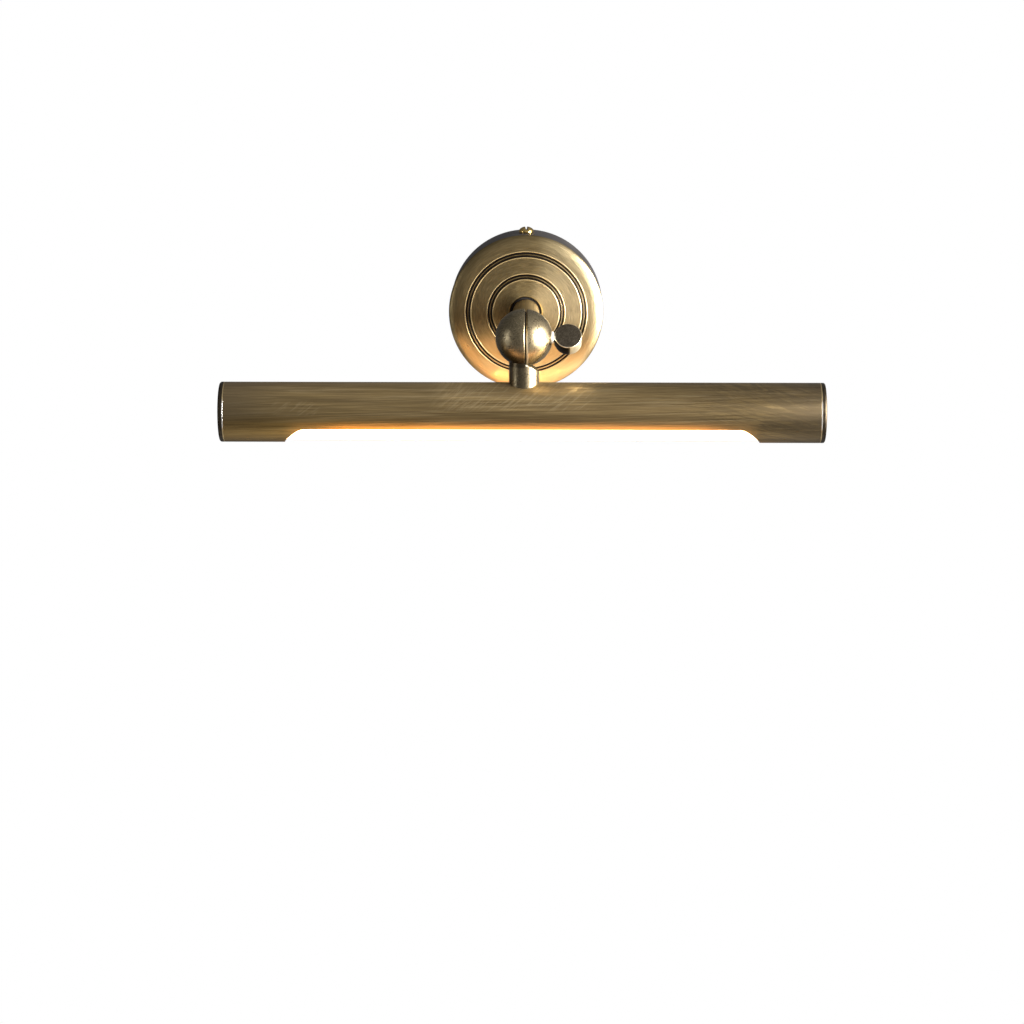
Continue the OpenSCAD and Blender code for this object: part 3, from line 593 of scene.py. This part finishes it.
paint = {
    "strap_steel": zinc("strap zinc", (0.55, 0.56, 0.57), (300, 1400, 30)),
    "fastener_steel": zinc("fastener zinc", (0.52, 0.53, 0.54), (900, 900, 900)),
    "bright_washer": polished("bright washer", (0.95, 0.94, 0.90), (0.30, 0.40), 0.3),
    "polished_brass": polished("polished brass", (0.83, 0.56, 0.19), (0.10, 0.20)),
    "canopy_side": side_bronze(),
    "canopy_brass": canopy_brass(),
    "black_rubber": moulded("black rubber", (0.008, 0.007, 0.007), (0.016, 0.014, 0.013), (0.8, 0.9),
                            Specular_IOR_Level=0.15),
    "friction_fibre": moulded("pressed fibre", (0.020, 0.017, 0.014), (0.050, 0.042, 0.034), (0.7, 0.85),
                              900, 0.0001),
    "arm_brass": arm_brass(),
    "ball_brass": ball_brass(),
    "tube_brass": tube_brass(),
    "cap_brass": cap_brass(),
    "paddle_brass": paddle_brass(),
    "rail_aluminium": aluminium(),
    "board_white": moulded("board solder mask", (0.74, 0.74, 0.72), (0.82, 0.82, 0.80), (0.3, 0.4)),
    "chip_yellow": moulded("diode phosphor", (0.82, 0.56, 0.12), (0.90, 0.66, 0.20), (0.25, 0.35)),
    "opal": opal(),
    "white_plastic": moulded("moulded plastic", (0.70, 0.70, 0.68), (0.80, 0.80, 0.78), (0.38, 0.5)),
    "wire_sleeve": moulded("wire sleeve", (0.020, 0.019, 0.018), (0.034, 0.032, 0.030), (0.4, 0.5)),
}

slot_of = {p["node"]: p["material_slot"] for p in frame["record"]["subparts"]}
BOXY = ("wall_strap", "led_driver", "terminal_block", "driver_pad", "lead_connector", "led_rail", "led_board",
        "led_chips", "arm_plate", "arm_nut", "stem_nut")
for name, obj in frame["nodes"].items():
    obj.data.materials.clear()
    obj.data.materials.append(paint[slot_of[name]])
    if name in BOXY:
        m = obj.modifiers.new("edge", "BEVEL")
        m.width = 0.25 * MM
        m.segments = 2
        m.limit_method = "ANGLE"
        m.angle_limit = math.radians(50)

# ---- canopy ----


def cone(r):
    """Distance of the canopy's face from the wall, without its grooves."""
    return canopy_depth - CONE_RISE * r / SHOULDER_R


GROOVE_SPACING = 2.0 * MM
GROOVE_HALF_W = 0.75 * MM
GROOVE_DEPTH = 0.75 * MM
LIP_HALF_W = 0.38 * MM
LIP_H = 0.13 * MM
INNER_PAIR_R = 25.4 * MM
OUTER_PAIR_R = 40.9 * MM


def groove_pair(middle):
    """Points across two turned grooves with a raised lip on each outer side."""
    points = []
    for k in range(-30, 31):
        off = k * 0.1 * MM
        cut = 0.0
        for side in (-1, 1):
            d = abs(off - side * GROOVE_SPACING / 2) / GROOVE_HALF_W
            if d < 1:
                cut = max(cut, GROOVE_DEPTH * (1 - d ** 2.4))
        d = abs(abs(off) - GROOVE_SPACING / 2 - GROOVE_HALF_W - LIP_HALF_W) / LIP_HALF_W
        rise = LIP_H * (0.5 + 0.5 * math.cos(math.pi * d)) if d < 1 else 0.0
        points.append((middle + off, cone(middle + off) - cut + rise))
    return points


hole_r = 11.05 * MM
hole_edge_w, hole_edge_d = 0.9 * MM, 0.85 * MM
hole_edge = cone(hole_r) - hole_edge_d
outline = [(hole_r, cone(hole_r) - 2.2 * MM), (hole_r, hole_edge)]
outline += [(hole_r + hole_edge_w * (1 - math.cos(a)), hole_edge + hole_edge_d * math.sin(a))
            for a in (math.radians(15 * k) for k in range(1, 7))]
outline += [(r * MM, cone(r * MM)) for r in range(13, 23, 2)]
outline += groove_pair(INNER_PAIR_R)
outline += [(r * MM, cone(r * MM)) for r in range(30, 38, 2)]
outline += groove_pair(OUTER_PAIR_R)
shoulder_w = canopy_r - SHOULDER_R
outline += [(SHOULDER_R + shoulder_w * math.sin(a), cone(SHOULDER_R) - SHOULDER_DEPTH * (1 - math.cos(a)))
            for a in (math.radians(3 * k) for k in range(0, 31))]
rim = rim_back + 0.02 * MM
outline += [(canopy_r, rim_back + 0.25 * MM), (canopy_r - 0.2 * MM, rim), (canopy_r - 6 * MM, rim),
            (SHOULDER_R - 1 * MM, cone(SHOULDER_R) - 2.3 * MM)]
dish = loose("canopy_dish", turned(outline, "wall", (0, 0, 0), 360))
settle(dish, paint["canopy_brass"], "wall_mount", ["canopy_face"])

wall_t = 1.4 * MM
flange_r = 40 * MM
outline = rounded([
    (side_r, 0, 0.3 * MM), (side_r, rim_back, 0.4 * MM), (flange_r, rim_back, 0.2 * MM),
    (flange_r, rim_back - wall_t, 0.2 * MM), (side_r - wall_t, rim_back - wall_t, 0.8 * MM),
    (side_r - wall_t, 0, 0.3 * MM),
], 4)
shell = loose("canopy_side_wall", turned(outline, "wall", (0, 0, 0), 360))
settle(shell, paint["canopy_side"], "wall_mount", ["canopy_shell"])

# slotted, domed canopy screws, one piece for each side
screw_low, screw_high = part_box("canopy_screws")
screw_t = -(screw_low.y + screw_high.y) / 2
SLOT_TURN = 8
for label, sign in (("top", 1), ("bottom", -1)):
    base_z = side_r + 0.15 * MM
    crown = [(5.25 * math.sin(a), 0.9 + 3.3 * math.cos(a)) for a in (math.pi * k / 36 for k in range(19))]
    crown += [(5.3, 0.5), (5.2, 0.1), (5.05, 0), (1.95, 0), (1.95, -6.9), (0, -7)]
    outline = [(r * MM, base_z + t * MM) for r, t in crown]
    head = loose("canopy_screw_" + label, turned(outline, (0, 0, sign), (0, -screw_t, 0), 96))
    slot_turn = Matrix.Rotation(math.radians(90 + SLOT_TURN), 3, "Z")
    slot_outline = [(a * 8 * MM, b * 0.9 * MM) for a, b in ((-1, -1), (1, -1), (1, 1), (-1, 1))]
    slot_place = (0, -screw_t, sign * (base_z + 3.9 * MM))
    cutter = loose("slot", extruded(slot_outline, 4 * MM, slot_turn, slot_place))
    combine(head, cutter, "DIFFERENCE")
    soften(head, 0.16 * MM, 3, 50)
    # the first piece stands for both screws of the node
    stands_for = ["canopy_screws"] if sign > 0 else ()
    settle(head, paint["polished_brass"], "wall_mount", stands_for)

# ---- arm ----

bush_r = bush_high.x
bush_t = -bush_high.y
bush_front = -bush_low.y
bush_bore = arm_r + 0.05 * MM
bush_neck_r = 10.95 * MM
flange_front = bush_t + 1.6 * MM
outline = rounded([
    (bush_bore, bush_front, 0.4 * MM), (bush_neck_r, bush_front, 0.5 * MM),
    (bush_neck_r, flange_front, 0.1 * MM), (bush_r, flange_front, 0.3 * MM),
    (bush_r, bush_t, 0.3 * MM), (bush_bore, bush_t, 0.1 * MM),
], 4)
bush = loose("arm_root_bush", turned(outline, "wall", (0, 0, 0), 128))
settle(bush, paint["black_rubber"], "wall_mount", ["arm_bush"])

arm_back, arm_front = -arm_high.y, -arm_low.y
outline = rounded([
    (arm_r, arm_back, 0.2 * MM), (arm_r, arm_front, 0.35 * MM), (arm_r - 1.5 * MM, arm_front, 0.2 * MM),
    (arm_r - 1.5 * MM, arm_back, 0.2 * MM),
], 4)
arm = loose("arm_barrel", turned(outline, "wall", (0, 0, 0), 160))
settle(arm, paint["arm_brass"], "wall_mount", ["arm_tube"])

# ---- knuckle ----

LEFT_FACE = 0.6 * MM
RIGHT_FACE = 1.4 * MM
HOLLOW_R = 15.2 * MM
BORE_R = 2.6 * MM
NECK_START = 15.7 * MM
STEM_R = 10 * MM
ROOM_LENGTH = 14 * MM      # how far the room for the other half reaches
ROOM_SLOPE = 0.36          # radius that it gains for each metre of that


def shell_outline(face, chamfer, bore, pole):
    """Section of one half of the ball: radius and distance from the ball's middle."""
    # the chamfer leaves the flat at edge_r and runs at 45 degrees to the ball's surface
    edge_r = ball_r - chamfer
    run = 0.5 * (math.sqrt(2 * ball_r ** 2 - (edge_r - face) ** 2) - (edge_r + face))
    edge_angle = math.atan2(face + run, edge_r + run)
    pole_angle = math.asin(pole / ball_r) if pole < ball_r else math.pi / 2
    round_start = edge_angle + 0.03
    out = rounded([
        (HOLLOW_R, face, 0), (edge_r, face, 0.18 * MM),
        (ball_r * math.cos(edge_angle), ball_r * math.sin(edge_angle), 0.18 * MM),
        (ball_r * math.cos(round_start), ball_r * math.sin(round_start), 0),
    ], 4, closed=False)
    out += [Vector((ball_r * math.cos(a), ball_r * math.sin(a)))
            for a in (round_start + (pole_angle - round_start) * k / 56 for k in range(1, 57))]
    if bore:
        out += [Vector((bore, pole)), Vector((bore, HOLLOW_R * 0.985))]
    inner_end = math.acos(bore / HOLLOW_R) if bore else math.pi / 2
    inner_start = math.asin(face / HOLLOW_R)
    out += [Vector((HOLLOW_R * math.cos(a), HOLLOW_R * math.sin(a)))
            for a in (inner_end + (inner_start - inner_end) * k / 20 for k in range(0, 20))]
    return [(max(p[0], 0.0), p[1]) for p in out]


def swing_room(face, sign):
    """The cone that one half's neck or stem leaves for the other half."""
    near_r = ball_r + 0.35 * MM
    far_r = near_r + ROOM_SLOPE * ROOM_LENGTH
    far = face + sign * ROOM_LENGTH
    outline = [(0, face), (near_r, face), (far_r, far), (0, far)]
    return loose("room", turned(outline, (1, 0, 0), ball, 256))


outline = shell_outline(RIGHT_FACE, 1.3 * MM, BORE_R, pole_flat)
right_half = loose("knuckle_arm_half", turned(outline, (1, 0, 0), ball, 256))
neck_end = -arm_front - ball.y
outline = rounded([
    (0, NECK_START, 0), (arm_r, NECK_START, 0), (arm_r, neck_end, 0.35 * MM), (0, neck_end, 0),
], 4, closed=False)
neck = loose("neck", turned(outline, (0, 1, 0), ball, 192))
combine(neck, swing_room(RIGHT_FACE, -1), "DIFFERENCE")
combine(right_half, neck, "UNION")
settle(right_half, paint["ball_brass"], "wall_mount", ["arm_half_ball"], 30)

outline = shell_outline(-LEFT_FACE, 0.5 * MM, 0, ball_r)
left_half = loose("knuckle_stem_half", turned(outline, (-1, 0, 0), ball, 256))
drop = ball.z - tube_axis.z
outline = [(0, -drop + tube_r / 2), (STEM_R, -drop + tube_r / 2), (STEM_R, -NECK_START), (0, -NECK_START)]
stem = loose("stem", turned(outline, (0, 0, 1), ball, 192))
cope_r, cope_half = tube_r + 0.02 * MM, 20 * MM
outline = [(0, -cope_half), (cope_r, -cope_half), (cope_r, cope_half), (0, cope_half)]
tube_solid = loose("tube", turned(outline, (1, 0, 0), (ball.x, tube_axis.y, tube_axis.z), 256))
combine(stem, tube_solid, "DIFFERENCE")
combine(stem, swing_room(LEFT_FACE, 1), "DIFFERENCE")
combine(left_half, stem, "UNION")
settle(left_half, paint["ball_brass"], "lamp_head", ["stem_half_ball"], 30)

ring_low, ring_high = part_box("friction_ring")
ring_inner_r, ring_outer_r = HOLLOW_R + 0.2 * MM, ball_r - 1.7 * MM
outline = rounded([(ring_inner_r, ring_low.x, 0), (ring_outer_r, ring_low.x, 0.1 * MM),
                   (ring_outer_r, ring_high.x, 0.1 * MM), (ring_inner_r, ring_high.x, 0)], 3)
ring = loose("friction_washer", turned(outline, (1, 0, 0), (0, ball.y, ball.z), 192))
settle(ring, paint["friction_fibre"], "lamp_head", ["friction_ring"])

# ---- lamp tube ----

WINDOW_LENGTH = 316 * MM
WINDOW_HALF_ANGLE = 63.5   # degrees round the tube's axis, to each side of straight down
WINDOW_HALF_W = tube_r * math.sin(math.radians(WINDOW_HALF_ANGLE))
WINDOW_CORNER = 14 * MM
inner_r = tube_r - 1.2 * MM
outline = rounded([(tube_r, -tube_half, 0.12 * MM), (tube_r, tube_half, 0.12 * MM),
                   (inner_r, tube_half, 0.1 * MM), (inner_r, -tube_half, 0.1 * MM)], 3)
tube = loose("lamp_barrel", turned(outline, (1, 0, 0), tube_axis, 256))
outline = []
for sx, sy, start in ((1, 1, 0), (-1, 1, 90), (-1, -1, 180), (1, -1, 270)):
    for k in range(25):
        a = math.radians(start + 90 * k / 24)
        outline.append((sx * (WINDOW_LENGTH / 2 - WINDOW_CORNER) + WINDOW_CORNER * math.cos(a),
                        sy * (WINDOW_HALF_W - WINDOW_CORNER) + WINDOW_CORNER * math.sin(a)))
below = tube_axis + Vector((0, 0, -tube_r))
window = loose("window", extruded(outline, 2 * tube_r, Matrix.Identity(3), below))
combine(tube, window, "DIFFERENCE")
soften(tube, 0.18 * MM, 3, 50)
settle(tube, paint["tube_brass"], "lamp_head", ["lamp_tube"], 40)

CAP_EDGE = 0.8 * MM
spigot_end = tube_half - 5 * MM
spigot_r, spigot_inner_r = tube_r - 1.3 * MM, tube_r - 3.2 * MM
seat, outside = tube_half + 0.02 * MM, tube_half + cap_t
for label, sign in (("left", -1), ("right", 1)):
    outline = rounded([
        (0, outside, 0), (tube_r - CAP_EDGE, outside, 0.3 * MM), (tube_r, outside - CAP_EDGE, 0.4 * MM),
        (tube_r, seat, 0.22 * MM), (spigot_r, seat, 0.1 * MM), (spigot_r, spigot_end, 0.2 * MM),
        (spigot_inner_r, spigot_end, 0.2 * MM), (spigot_inner_r, tube_half, 0.1 * MM), (0, tube_half, 0),
    ], 4, closed=False)
    cap = loose(label + "_cap", turned(outline, (sign, 0, 0), tube_axis, 256))
    settle(cap, paint["cap_brass"], "lamp_head", [label + "_end_cap"])

lens_low, lens_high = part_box("diffuser")
lens_r = (lens_high.y - lens_low.y) / 2
lens_top = lens_high.z - tube_axis.z
lens_half = (lens_high.x - lens_low.x) / 2
LENS_T = 1.5 * MM


def trough(r):
    """Half-round line under the lens's flat top, at radius r, from one side to the other."""
    first = math.asin(-lens_top / r)
    angles = (first + (math.pi - 2 * first) * k / 96 for k in range(97))
    return [(r * math.cos(a), -r * math.sin(a)) for a in angles]


outline = trough(lens_r) + trough(lens_r - LENS_T)[::-1]
across = Matrix(((0, 0, 1), (1, 0, 0), (0, 1, 0)))
lens = loose("opal_lens", extruded(outline, 2 * lens_half, across, tube_axis))
settle(lens, paint["opal"], "lamp_head", ["diffuser"])

# ---- clamp knob ----

start = Vector((pole_flat + 1.9 * MM, NECK_H / 2))
reach = Vector((PADDLE_X, 0)) - start
lean = math.atan2(reach.y, reach.x) + math.asin(PADDLE_R / reach.length)
run = math.sqrt(reach.length_squared - PADDLE_R ** 2)
touch = start + run * Vector((math.cos(lean), math.sin(lean)))
first = math.atan2(touch.y, touch.x - PADDLE_X)
edge = [(PADDLE_X + PADDLE_R * math.cos(a), PADDLE_R * math.sin(a))
        for a in (first - 2 * first * k / 60 for k in range(61))]
outline = [(start.x, start.y)] + edge + [(start.x, -start.y)]
upright = Matrix(((1, 0, 0), (0, 0, 1), (0, 1, 0)))
tilt = Matrix.Rotation(math.radians(-PADDLE_TURN), 3, "X")
middle = ball + tilt @ Vector((0, PADDLE_MIDDLE, 0))
paddle = loose("clamp_knob_paddle", extruded(outline, PADDLE_T, tilt @ upright, middle))
soften(paddle, 0.5 * MM, 4, 50)
collar_r = 3.3 * MM
collar_start, collar_end = pole_flat + 1.5 * MM, pole_flat + 2.9 * MM
outline = rounded([(0, collar_start, 0), (collar_r, collar_start, 0.2 * MM),
                   (collar_r, collar_end, 0.3 * MM), (0, collar_end, 0)], 3, closed=False)
collar = loose("collar", turned(outline, (1, 0, 0), ball, 96))
combine(paddle, collar, "UNION")
settle(paddle, paint["paddle_brass"], "clamp_knob", ["clamp_paddle"], 30)

washer_r = 4.1 * MM
washer_end = pole_flat + 0.9 * MM
outline = rounded([(BORE_R, pole_flat, 0.1 * MM), (washer_r, pole_flat, 0.15 * MM),
                   (washer_r, washer_end, 0.2 * MM), (BORE_R, washer_end, 0.1 * MM)], 3)
washer = loose("clamp_flat_washer", turned(outline, (1, 0, 0), ball, 96))
settle(washer, paint["bright_washer"], "clamp_knob", ["clamp_washer"])

# ---- floor, light and camera ----

floor_shade = Shade("pale floor")
grain = floor_shade.noise(floor_shade.place, 30, 4, 0.6)
floor_paint = floor_shade.done(floor_shade.mix((0.80, 0.80, 0.79), (0.84, 0.84, 0.83), grain),
                               0.9, floor_shade.bump(grain, 0.0005, 0.2))
bm = bmesh.new()
bmesh.ops.create_grid(bm, x_segments=4, y_segments=4, size=1.1, matrix=Matrix.Translation((0, -0.3, -1.7)))
floor = loose("floor", bm)
floor.data.materials.append(floor_paint)

world = bpy.data.worlds.new("studio")
bpy.context.scene.world = world
world.use_nodes = True
nodes, links = world.node_tree.nodes, world.node_tree.links
nodes.clear()
out = nodes.new("ShaderNodeOutputWorld")
pick = nodes.new("ShaderNodeMixShader")
seen = nodes.new("ShaderNodeBackground")
seen.inputs["Color"].default_value = (1, 1, 1, 1)
dim = nodes.new("ShaderNodeBackground")
dim.inputs["Color"].default_value = (0.97, 0.98, 1.0, 1)
# the room is darker on the left and behind the light than in front of it and on the right
direction = nodes.new("ShaderNodeSeparateXYZ")
links.new(nodes.new("ShaderNodeTexCoord").outputs["Generated"], direction.inputs[0])
ROOM_STRENGTH = 0.33
strengths = []
# axis of the view's direction, where the change starts and ends, strength at both
SPREADS = ((0, -0.8, 0.8, 0.45, 1.15), (1, -0.3, 0.9, 1.0, 0.6), (2, 0.3, 1.0, 1.0, 1.3))
for axis, from_min, from_max, low, high in SPREADS:
    spread = nodes.new("ShaderNodeMapRange")
    spread.interpolation_type = "SMOOTHSTEP"
    links.new(direction.outputs[axis], spread.inputs["Value"])
    for key, value in (("From Min", from_min), ("From Max", from_max), ("To Min", low), ("To Max", high)):
        spread.inputs[key].default_value = value
    strengths.append(spread.outputs["Result"])
room = None
for strength in strengths:
    product = nodes.new("ShaderNodeMath")
    product.operation = "MULTIPLY"
    links.new(strength, product.inputs[0])
    if room is None:
        product.inputs[1].default_value = ROOM_STRENGTH
    else:
        links.new(room, product.inputs[1])
    room = product.outputs[0]
links.new(room, dim.inputs["Strength"])
path = nodes.new("ShaderNodeLightPath")
links.new(path.outputs["Is Camera Ray"], pick.inputs["Fac"])
links.new(dim.outputs[0], pick.inputs[1])
links.new(seen.outputs[0], pick.inputs[2])
links.new(pick.outputs[0], out.inputs["Surface"])


def softbox(name, size, power, colour, place, aim):
    data = bpy.data.lights.new(name, "AREA")
    data.shape = "RECTANGLE"
    data.size, data.size_y = size
    data.energy = power
    data.color = colour
    obj = bpy.data.objects.new(name, data)
    obj.location = place
    obj.rotation_euler = (Vector(aim) - Vector(place)).to_track_quat("-Z", "Y").to_euler()
    obj.visible_camera = False
    bpy.context.scene.collection.objects.link(obj)
    return obj


knuckle = ball + Vector((0, 0.06, 0))
softbox("key", (0.42, 0.46), 32.0, (1.0, 0.985, 0.96), (0.65, -0.41, 0.05), knuckle)
softbox("front", (1.6, 0.9), 0.6, (1.0, 0.98, 0.95), (0.2, -1.5, 0.5), knuckle)
softbox("left fill", (0.12, 0.6), 0.8, (0.95, 0.97, 1.0), (-0.8, -0.45, 0.0), knuckle)
WARM = (1.0, 0.54, 0.22)
# the lamp's own warm light, thrown back on the canopy and under the tube; it tilts with the lamp head
strip = softbox("lamp to canopy", (0.29, 0.006), 1.9, WARM,
                (tube_axis.x, ball.y - 0.013, tube_low.z + 1.2 * MM), (0, -0.043, -0.03))
bounce = softbox("lamp bounce", (0.28, 0.05), 0.10, WARM,
                 (tube_axis.x, ball.y - 0.05, tube_low.z - 0.06), (0, ball.y, tube_axis.z))
for glow in (strip, bounce):
    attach(glow, "lamp_head")

ELEVATION, AZIMUTH = math.radians(11), math.radians(0.8)
level = math.cos(ELEVATION)
toward = Vector((math.sin(AZIMUTH) * level, -math.cos(AZIMUTH) * level, math.sin(ELEVATION)))
right = (-toward).cross(Vector((0, 0, 1))).normalized()
up = right.cross(-toward)
AIM_LEFT, AIM_DOWN = 8.0 * MM, 115.6 * MM
CAMERA_DISTANCE = 2.0
aim = ball - AIM_LEFT * right - AIM_DOWN * up
lens_data = bpy.data.cameras.new("camera")
lens_data.lens = 106.2
lens_data.sensor_width = 36
camera = bpy.data.objects.new("camera", lens_data)
camera.location = aim + CAMERA_DISTANCE * toward
camera.rotation_euler = (-toward).to_track_quat("-Z", "Y").to_euler()
bpy.context.scene.collection.objects.link(camera)
bpy.context.scene.camera = camera
bpy.context.scene.view_settings.view_transform = "Standard"

bpy.context.view_layer.update()
